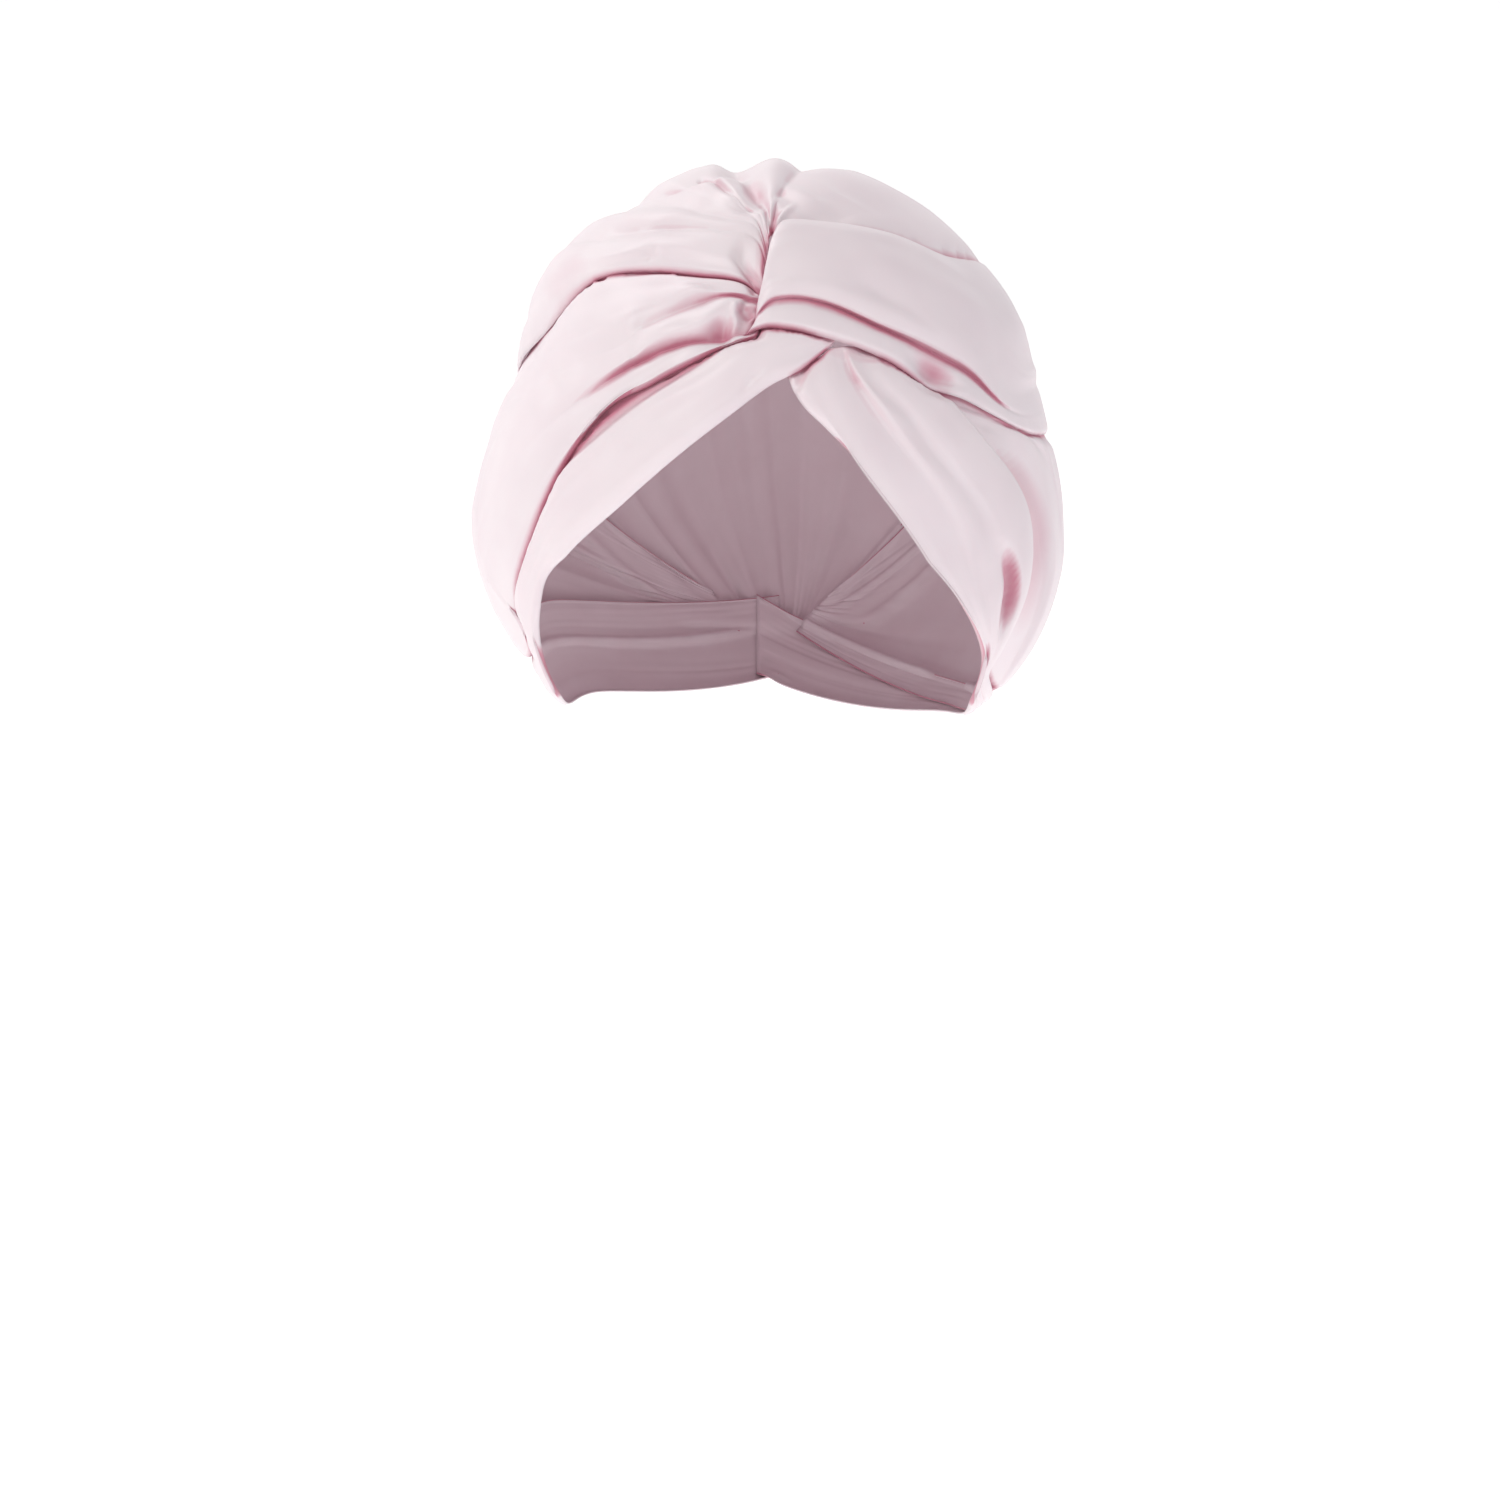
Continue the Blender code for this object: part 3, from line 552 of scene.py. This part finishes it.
def slackness(points, seed, height):
    """Broad uneven swells of loose cloth, drawn out along the folds."""
    rng = np.random.default_rng(seed)
    noise = rng.normal(size=SWELLS)
    for axis, count in ((0, points.shape[0]), (1, points.shape[1])):
        source = np.linspace(0, 1, noise.shape[axis])
        weights = curve_weights(source, np.linspace(0, 1, count))
        noise = weights @ noise if axis == 0 else noise @ weights.T
    edge = np.sin(np.linspace(0, 1, points.shape[1]) * math.pi)[None, :]
    return noise * edge * height


def pressed_strokes(points, strokes, painted_shade_only):
    """Depth of the dents and creases along lines of the photograph, or the strength of the painted
    shade strokes.
    """
    x, y = on_photo(points)
    front = points[..., 1] < STROKE_BACK
    depth = np.zeros(points.shape[:2])
    for _, kind, deep, left, right, start, end, places in strokes:
        if (kind == "painted shade") != painted_shade_only:
            continue
        spots = np.array(places, float)
        steps = np.linspace(0, 1, STROKE_STEPS)
        line = curve_weights(np.linspace(0, 1, len(spots)), steps) @ spots
        near = front.copy()
        for value, lowest, highest in zip((x, y), line.min(axis=0), line.max(axis=0)):
            near &= (value > lowest - STROKE_MARGIN) & (value < highest + STROKE_MARGIN)
        place = np.stack((x[near], y[near]), axis=-1)
        gap = place[:, None] - line[None]
        far = np.linalg.norm(gap, axis=-1)
        index = far.argmin(axis=1)
        chosen = np.arange(len(index))
        heading = np.gradient(line, axis=0)[index]
        side = heading[:, 0] * gap[chosen, index, 1] - heading[:, 1] * gap[chosen, index, 0]
        reach = np.where(side > 0, right, left)
        ratio = far[chosen, index] / reach
        if kind == "crease":
            press = np.clip(1 - ratio / CREASE_REACHES, 0, 1) ** 2
        else:
            press = np.exp(-ratio ** 2)
        share = steps[index]
        taper = np.ones(len(share))
        if start:
            taper *= np.clip(share / start, 0, 1)
        if end:
            taper *= np.clip((1 - share) / end, 0, 1)
        taper = taper * taper * (3 - 2 * taper)
        depth[near] += deep * (1 if painted_shade_only else MM) * press * taper
    return depth


def run_of_cloth(points, axis):
    """Distance over the cloth from the twist, or across it from the first edge."""
    steps = np.linalg.norm(np.diff(points, axis=axis), axis=-1)
    start = np.zeros_like(steps.take([0], axis=axis))
    return np.concatenate((start, steps.cumsum(axis=axis)), axis=axis)


def curled_edges(points, curl):
    """How far the sheet's edges curl in, as a folded edge does."""
    from_twist = run_of_cloth(points, 0)
    from_first = run_of_cloth(points, 1)
    from_last = from_first[:, -1:] - from_first
    depth = np.zeros(points.shape[:2])
    for distance, size in zip((from_first, from_last, from_twist), curl):
        share = 1 - np.clip(distance / size, 0, 1)
        depth += size * (1 - np.sqrt(1 - share ** 2 * CURL_ROUND))
    return depth


def search_tree(grids):
    """Search tree of the outer faces of one or more sheets."""
    corners = []
    faces = []
    for points in grids:
        count, width = points.shape[:2]
        first = len(corners)
        corners += [Vector(place) for place in points.reshape(-1, 3)]
        for i in range(count - 1):
            row = first + i * width
            faces += [(row + j, row + j + 1, row + width + j + 1, row + width + j)
                      for j in range(width - 1)]
    return BVHTree.FromPolygons(corners, faces)


def widen(values, passes):
    """Spread a grid's high values to the neighbours."""
    for _ in range(passes):
        padded = np.pad(values, 1, mode="edge")
        values = np.maximum.reduce((
            values, padded[:-2, 1:-1], padded[2:, 1:-1], padded[1:-1, :-2], padded[1:-1, 2:]))
    return values


def press_under(points, uppers):
    """Lower a sheet wherever a sheet that is laid over it needs the room, without a step."""
    middle = Vector(MIDDLE)
    offset = points.reshape(-1, 3) - MIDDLE
    reach = np.linalg.norm(offset, axis=1)
    free = reach.copy()
    ways = [Vector(way) for way in offset / reach[:, None]]
    for tree in uppers:
        for index, way in enumerate(ways):
            hit, normal, _, distance = tree.ray_cast(middle, way)
            if hit is not None:
                lean = max(abs(normal.dot(way)), STEEPEST_FOLD)
                room = distance - (WALL + LAYER_GAP) / lean
            else:
                place = middle + way * reach[index]
                nearest, _, _, _ = tree.find_nearest(place, EDGE_REACH)
                if nearest is None:
                    continue
                spoke = (nearest - middle).normalized()
                aside = place - nearest
                beside = (aside - spoke * aside.dot(spoke)).length
                room = (nearest - middle).length - WALL - LAYER_GAP + EDGE_SLOPE * beside
            reach[index] = min(reach[index], room)
    sink = (free - reach).reshape(points.shape[:2])
    eased = blur(widen(sink, 1), 3)
    ways = offset / free[:, None]
    return MIDDLE + (ways * (free - eased.reshape(-1))[:, None]).reshape(points.shape)


def shade_between_folds(points, everything):
    """Share of the light from outside that neighbouring folds keep from each place, from 0 to 1."""
    along = np.gradient(points, axis=0)
    across = np.gradient(points, axis=1)
    normal = np.cross(along, across)
    normal /= np.maximum(np.linalg.norm(normal, axis=-1, keepdims=True), 1e-12)
    normal *= np.sign((normal * (points - MIDDLE)).sum(axis=-1, keepdims=True))
    first = np.cross(normal, (0.31, 0.52, 0.79))
    first /= np.linalg.norm(first, axis=-1, keepdims=True)
    second = np.cross(normal, first)
    starts = [Vector(place) for place in (points + normal * SHADE_START).reshape(-1, 3)]
    hidden = np.zeros(len(starts))
    for lean, count in SHADE_RAYS:
        for step in range(count):
            turn = 2 * math.pi * (step + 0.5) / count
            aside = first * math.cos(turn) + second * math.sin(turn)
            ways = normal * math.cos(lean) + aside * math.sin(lean)
            for index, way in enumerate(ways.reshape(-1, 3)):
                distance = everything.ray_cast(starts[index], Vector(way), SHADE_REACH)[3]
                if distance is not None:
                    hidden[index] += 1 - distance / SHADE_REACH
    rays = sum(count for _, count in SHADE_RAYS)
    shade = blur((hidden / rays).reshape(points.shape[:2]), 2)
    most, fade = SHADE_COVERED
    return shade * np.clip(1 - (shade - most) / fade, 0, 1)


def add_node(tree, kind, values=(), links=(), **settings):
    """One node with its settings, the values of its inputs and the sockets that feed it."""
    made = tree.nodes.new(kind)
    for name, value in settings.items():
        setattr(made, name, value)
    for socket, value in values:
        made.inputs[socket].default_value = value
    for socket, source in links:
        tree.links.new(source, made.inputs[socket])
    return made


def new_material(name, values):
    """A material with values set on its shader's own sockets, its node tree and the shader."""
    material = bpy.data.materials.new(name)
    material.use_nodes = True
    shader = material.node_tree.nodes["Principled BSDF"]
    for socket, value in values:
        shader.inputs[socket].default_value = value
    return material, material.node_tree, shader


def charmeuse_satin():
    """Woven charmeuse: long thread floats give a broad soft highlight, and the shade between folds
    is painted rose.
    """
    material, tree, shader = new_material("charmeuse_satin_woven", (
        ("Metallic", 0.0),
        ("IOR", 1.5),
        ("Specular IOR Level", 0.35),
        ("Sheen Weight", 0.05),
        ("Sheen Roughness", 0.4),
        ("Subsurface Weight", 0.06),
        ("Subsurface Radius", (1.0, 0.45, 0.5)),
        ("Subsurface Scale", 0.003),
    ))
    # Threads lie 0.1 mm apart, too fine to show, so streaks 0.6 mm wide and 6 mm long stand for them
    cloth = add_node(tree, "ShaderNodeUVMap", uv_map="cloth")
    threads = add_node(
        tree, "ShaderNodeMapping",
        [("Scale", (170.0, 1700.0, 1.0))], [("Vector", cloth.outputs["UV"])])
    streaks = add_node(
        tree, "ShaderNodeTexNoise",
        [("Scale", 1.0), ("Detail", 3.0), ("Roughness", 0.6)],
        [("Vector", threads.outputs["Vector"])])
    # Uneven dye and light in the loose cloth, in patches about 30 mm wide
    place = add_node(tree, "ShaderNodeTexCoord")
    patches = add_node(
        tree, "ShaderNodeTexNoise",
        [("Scale", 32.0), ("Detail", 2.0), ("Roughness", 0.5)],
        [("Vector", place.outputs["Object"])])
    tone = add_node(
        tree, "ShaderNodeMix", [(6, linear(PINK)), (7, linear(PINK_MAUVE))],
        [(0, patches.outputs["Fac"])], data_type="RGBA")
    # Painted shade: the shade between folds and the painted shade strokes mix the colour toward rose
    depth = add_node(tree, "ShaderNodeAttribute", attribute_name="painted_fold_shade")
    painted_shade_mix = add_node(
        tree, "ShaderNodeMapRange",
        [("From Min", 0.06), ("From Max", 0.42), ("To Min", 0.0), ("To Max", 0.9)],
        [("Value", depth.outputs["Fac"])])
    colour = add_node(
        tree, "ShaderNodeMix", [(7, linear(PAINTED_SHADE_ROSE))],
        [(0, painted_shade_mix.outputs["Result"]), (6, tone.outputs[2])], data_type="RGBA")
    gloss = add_node(
        tree, "ShaderNodeMapRange",
        [("From Min", 0.3), ("From Max", 0.7), ("To Min", 0.36), ("To Max", 0.46)],
        [("Value", streaks.outputs["Fac"])])
    relief = add_node(
        tree, "ShaderNodeBump", [("Strength", 0.12), ("Distance", 0.0002)],
        [("Height", streaks.outputs["Fac"])])
    tree.links.new(colour.outputs[2], shader.inputs["Base Color"])
    tree.links.new(gloss.outputs["Result"], shader.inputs["Roughness"])
    tree.links.new(relief.outputs["Normal"], shader.inputs["Normal"])
    return material


def crepe_back():
    """The dull back of the same weave, inside the turban."""
    material, tree, shader = new_material("charmeuse_back", (
        ("Roughness", 0.75),
        ("Specular IOR Level", 0.25),
    ))
    # The same uneven dye, in patches about 17 mm wide
    place = add_node(tree, "ShaderNodeTexCoord")
    grain = add_node(
        tree, "ShaderNodeTexNoise", [("Scale", 60.0), ("Detail", 3.0)],
        [("Vector", place.outputs["Object"])])
    tone = add_node(
        tree, "ShaderNodeMix", [(6, linear(BACK_PINK)), (7, linear(PINK_MAUVE))],
        [(0, grain.outputs["Fac"])], data_type="RGBA")
    tree.links.new(tone.outputs[2], shader.inputs["Base Color"])
    return material


def matt_paper():
    """Plain matt paper for the stage: no gloss, evenly pale."""
    material, _, _ = new_material("matt_paper", (
        ("Base Color", linear(FLOOR_WHITE)),
        ("Roughness", 0.9),
        ("Specular IOR Level", 0.1),
        ("Emission Color", linear("#FFFFFF")),
        ("Emission Strength", PAPER_GLOW),
    ))
    return material


def seam_puckers():
    """Geometry Nodes tree: cloth drawn into small waves beside its sewn seam."""
    tree = bpy.data.node_groups.new("seam_puckers", "GeometryNodeTree")
    face = tree.interface
    face.new_socket("Geometry", in_out="INPUT", socket_type="NodeSocketGeometry")
    for name, value in (("Height", 0.0003), ("Pitch", 0.009), ("Reach", 0.005)):
        face.new_socket(name, in_out="INPUT", socket_type="NodeSocketFloat").default_value = value
    face.new_socket("Cloth", in_out="INPUT", socket_type="NodeSocketMaterial")
    face.new_socket("Geometry", in_out="OUTPUT", socket_type="NodeSocketGeometry")
    given = add_node(tree, "NodeGroupInput")
    run = add_node(tree, "GeometryNodeInputNamedAttribute", [("Name", "seam_run")])
    gap = add_node(tree, "GeometryNodeInputNamedAttribute", [("Name", "seam_gap")])
    turns = add_node(
        tree, "ShaderNodeMath", links=[(0, run.outputs[0]), (1, given.outputs["Pitch"])],
        operation="DIVIDE")
    uneven = add_node(
        tree, "ShaderNodeTexNoise", [("Scale", 0.9), ("Detail", 2.0)],
        [("W", turns.outputs[0])], noise_dimensions="1D")
    mixed = add_node(
        tree, "ShaderNodeMath", [(1, 9.0)],
        [(0, uneven.outputs[0]), (2, turns.outputs[0])], operation="MULTIPLY_ADD")
    wave = add_node(
        tree, "ShaderNodeMath", links=[(0, mixed.outputs[0])], operation="SINE")
    share = add_node(
        tree, "ShaderNodeMath", links=[(0, gap.outputs[0]), (1, given.outputs["Reach"])],
        operation="DIVIDE")
    fall = add_node(
        tree, "ShaderNodeMath", [(0, 0.37)], [(1, share.outputs[0])], operation="POWER")
    faded = add_node(
        tree, "ShaderNodeMath", links=[(0, wave.outputs[0]), (1, fall.outputs[0])],
        operation="MULTIPLY")
    height = add_node(
        tree, "ShaderNodeMath", links=[(0, faded.outputs[0]), (1, given.outputs["Height"])],
        operation="MULTIPLY")
    normal = add_node(tree, "GeometryNodeInputNormal")
    shift = add_node(
        tree, "ShaderNodeVectorMath",
        links=[(0, normal.outputs[0]), ("Scale", height.outputs[0])], operation="SCALE")
    moved = add_node(
        tree, "GeometryNodeSetPosition",
        links=[("Geometry", given.outputs["Geometry"]), ("Offset", shift.outputs[0])])
    real = add_node(
        tree, "GeometryNodeRealizeInstances", links=[("Geometry", moved.outputs[0])])
    dressed = add_node(
        tree, "GeometryNodeSetMaterial",
        links=[("Geometry", real.outputs[0]), ("Material", given.outputs["Cloth"])])
    add_node(tree, "NodeGroupOutput", links=[("Geometry", dressed.outputs[0])])
    return tree


def set_input(modifier, name, value):
    """Set a named input of a Geometry Nodes modifier by its socket's identifier."""
    for item in modifier.node_group.interface.items_tree:
        if item.in_out == "INPUT" and item.name == name:
            modifier[item.identifier] = value


def cloth_mesh(name, points, shade):
    """The outer face of a sheet as a mesh, with its cloth measures and its shade between folds."""
    count, width = points.shape[:2]
    shape = bmesh.new()
    bmesh.ops.create_grid(shape, x_segments=count - 1, y_segments=width - 1, size=0.5)
    steps_along = np.linalg.norm(np.diff(points, axis=0), axis=-1).mean(axis=1)
    steps_across = np.linalg.norm(np.diff(points, axis=1), axis=-1).mean(axis=0)
    run = np.concatenate(((0.0,), steps_along.cumsum()))
    gap = np.concatenate(((0.0,), steps_across.cumsum()))
    uv = shape.loops.layers.uv.new("cloth")
    # The shade between folds, kept on each corner so the cloth's material paints it rose
    depth = shape.verts.layers.float.new("painted_fold_shade")
    seam_run = shape.verts.layers.float.new("seam_run")
    seam_gap = shape.verts.layers.float.new("seam_gap")
    for vertex in shape.verts:
        i = round((vertex.co.x + 0.5) * (count - 1))
        j = round((vertex.co.y + 0.5) * (width - 1))
        vertex.co = points[i, j]
        vertex[depth] = shade[i, j]
        vertex[seam_run] = run[i]
        vertex[seam_gap] = gap[j]
        for loop in vertex.link_loops:
            loop[uv].uv = (run[i], gap[j])
    shape.normal_update()
    middle = Vector(MIDDLE)
    if sum(face.normal.dot(face.calc_center_median() - middle) for face in shape.faces) < 0:
        bmesh.ops.reverse_faces(shape, faces=shape.faces)
    mesh = bpy.data.meshes.new(name)
    shape.to_mesh(mesh)
    shape.free()
    mesh.shade_smooth()
    return mesh


def add_object(name, data):
    """A new object in the scene."""
    made = bpy.data.objects.new(name, data)
    bpy.context.scene.collection.objects.link(made)
    return made


def finish_sheet(name, points, shade, puckers, pucker_height, cloth, back):
    """Pucker the sheet's seam and give the cloth its wall, with the weave's dull side within."""
    raw = add_object(name + "_flat", cloth_mesh(name, points, shade))
    modifier = raw.modifiers.new("puckers", "NODES")
    modifier.node_group = puckers
    set_input(modifier, "Height", pucker_height)
    set_input(modifier, "Cloth", cloth)
    ready = raw.evaluated_get(bpy.context.evaluated_depsgraph_get())
    mesh = bpy.data.meshes.new_from_object(ready)
    mesh.name = name
    bpy.data.objects.remove(raw, do_unlink=True)
    sheet = add_object(name, mesh)
    if not mesh.materials:
        mesh.materials.append(cloth)
    mesh.materials.append(back)
    solid = sheet.modifiers.new("cloth wall", "SOLIDIFY")
    solid.thickness = WALL
    solid.offset = -1.0
    solid.material_offset = 1
    return sheet


def lay_turban():
    """Every sheet of the turban, from the outermost inwards."""
    cloth = charmeuse_satin()
    puckers = seam_puckers()
    sheets = (
        # name, CAD node, folds, nape, columns, fineness, strokes,
        # edge curls, pleats, slack, puckers, flat cut
        ("over_wrap", "right_over_wrap", WRAP_FOLDS, WRAP_NAPE, SHEET_COLUMNS, SMALL_SHEET,
         WRAP_STROKES,
         (0.0008, 0.0012, 0.0022), (11, 6, 0.0002, 0.0005), (21, 0.0004), 0.0002, (0.070, 0.28)),
        ("crown_gathers", "crown_panel", CROWN_FOLDS, CROWN_NAPE, SHEET_COLUMNS, BROAD_SHEET,
         CROWN_STROKES,
         (0.0008, 0.0012, 0.0010), (12, 26, 0.0003, 0.0010), (22, 0.0006), 0.0002, (0.22, 0.30)),
        ("left_gathers", "left_side_panel", LEFT_SIDE_FOLDS, LEFT_SIDE_NAPE, SIDE_COLUMNS,
         SMALL_SHEET, LEFT_SIDE_STROKES,
         (0.0008, 0.0014, 0.0010), (13, 16, 0.0003, 0.0008), (23, 0.0006), 0.0, (0.095, 0.29)),
        ("left_band", "left_brow_band", LEFT_BAND_FOLDS, LEFT_BAND_NAPE, BAND_COLUMNS,
         SMALL_SHEET, LEFT_BAND_STROKES,
         (0.0010, 0.0016, 0.0010), (14, 8, 0.0002, 0.0005), (24, 0.0002), 0.0, (0.052, 0.30)),
        ("right_band", "right_brow_band", RIGHT_BAND_FOLDS, RIGHT_BAND_NAPE, BAND_COLUMNS,
         SMALL_SHEET, RIGHT_BAND_STROKES,
         (0.0014, 0.0016, 0.0010), (15, 8, 0.0002, 0.0005), (25, 0.0004), 0.0, (0.052, 0.28)),
        ("right_gathers", "right_side_panel", RIGHT_SIDE_FOLDS, RIGHT_SIDE_NAPE, PANEL_COLUMNS,
         SMALL_SHEET, RIGHT_SIDE_STROKES,
         (0.0010, 0.0010, 0.0010), (16, 10, 0.0002, 0.0008), (26, 0.0003), 0.0, (0.070, 0.27)),
    )
    laid = []
    for _, _, folds, nape, columns, fineness, strokes, curl, pleats, slack, _, _ in sheets:
        directions, lifts = lay_sheet(folds, nape, columns, fineness)
        points = surface(directions, lifts)
        lifts = lifts + gathers(points, *pleats) + slackness(points, *slack)
        lifts -= pressed_strokes(points, strokes, False)
        lifts = blur(lifts, 1)
        lifts -= curled_edges(points, curl)
        uppers = [search_tree([upper]) for upper in laid]
        laid.append(press_under(surface(directions, lifts), uppers))
    everything = search_tree(laid)
    back = crepe_back()
    for (name, node, _, _, _, _, strokes, _, _, _, height, cut), points in zip(sheets, laid):
        # Shade from neighbouring folds plus the painted shade strokes, painted rose into the cloth's
        # colour
        shade = shade_between_folds(points, everything) + pressed_strokes(points, strokes, True)
        sheet = finish_sheet(name, points, shade, puckers, height, cloth, back)
        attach(sheet, "root")
        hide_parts(node)


def set_stage():
    """A plain pale floor that sweeps up behind, soft studio light and the photograph's view."""
    shape = bmesh.new()
    # How far behind the turban each line of the paper lies, and how high it stands there
    sweep = [(-FLOOR_SPREAD, 0.0), (-FLOOR_FRONT, 0.0), (SWEEP_START, 0.0)]
    for turn in np.linspace(0.1, 1.5, 14):
        rise = SWEEP_RADIUS - math.cos(turn) * SWEEP_RADIUS
        sweep.append((SWEEP_START + math.sin(turn) * SWEEP_RADIUS, rise))
    sweep.append((SWEEP_START + SWEEP_RADIUS, BACKDROP_TOP))
    ends = []
    for x in (-FLOOR_SPREAD, FLOOR_SPREAD):
        ends.append([shape.verts.new((x, y, FLOOR_HEIGHT + z)) for y, z in sweep])
    for index in range(len(sweep) - 1):
        left, right = ends
        shape.faces.new((left[index], right[index], right[index + 1], left[index + 1]))
    mesh = bpy.data.meshes.new("floor")
    shape.to_mesh(mesh)
    shape.free()
    mesh.shade_smooth()
    mesh.materials.append(matt_paper())
    floor = add_object("floor", mesh)

    lights = (
        # name, place, size, power, colour
        ("key", (-1.3, -1.6, 1.9), 1.0, 34.0, "#FFFDFB"),
        ("fill", (2.3, -1.0, 0.2), 1.2, 9.0, "#F8F4FF"),
        ("top", (-0.9, 0.9, 1.7), 1.2, 13.0, "#FFFFFF"),
    )
    for name, place, size, power, colour in lights:
        data = bpy.data.lights.new(name, "AREA")
        data.shape = "DISK"
        data.size = size
        data.energy = power
        data.color = linear(colour)[:3]
        lamp = add_object(name, data)
        lamp.location = place
        aim = Vector(MIDDLE) - Vector(place)
        lamp.rotation_euler = aim.to_track_quat("-Z", "Y").to_euler()

    world = bpy.data.worlds.new("studio")
    world.use_nodes = True
    sky = world.node_tree.nodes["Background"]
    sky.inputs["Color"].default_value = linear("#FFFFFF")
    sky.inputs["Strength"].default_value = WORLD_LIGHT
    bpy.context.scene.world = world

    data = bpy.data.cameras.new("view")
    data.sensor_width = SENSOR
    data.lens = SENSOR * FOCAL_PIXELS / PHOTO_WIDTH
    camera = add_object("view", data)
    turned = Matrix(np.stack((RIGHT, UP, -FORWARD), axis=1).tolist()).to_4x4()
    camera.matrix_world = Matrix.Translation(Vector(EYE)) @ turned
    bpy.context.scene.camera = camera
    bpy.context.scene.view_settings.view_transform = "Standard"


lay_turban()
set_stage()
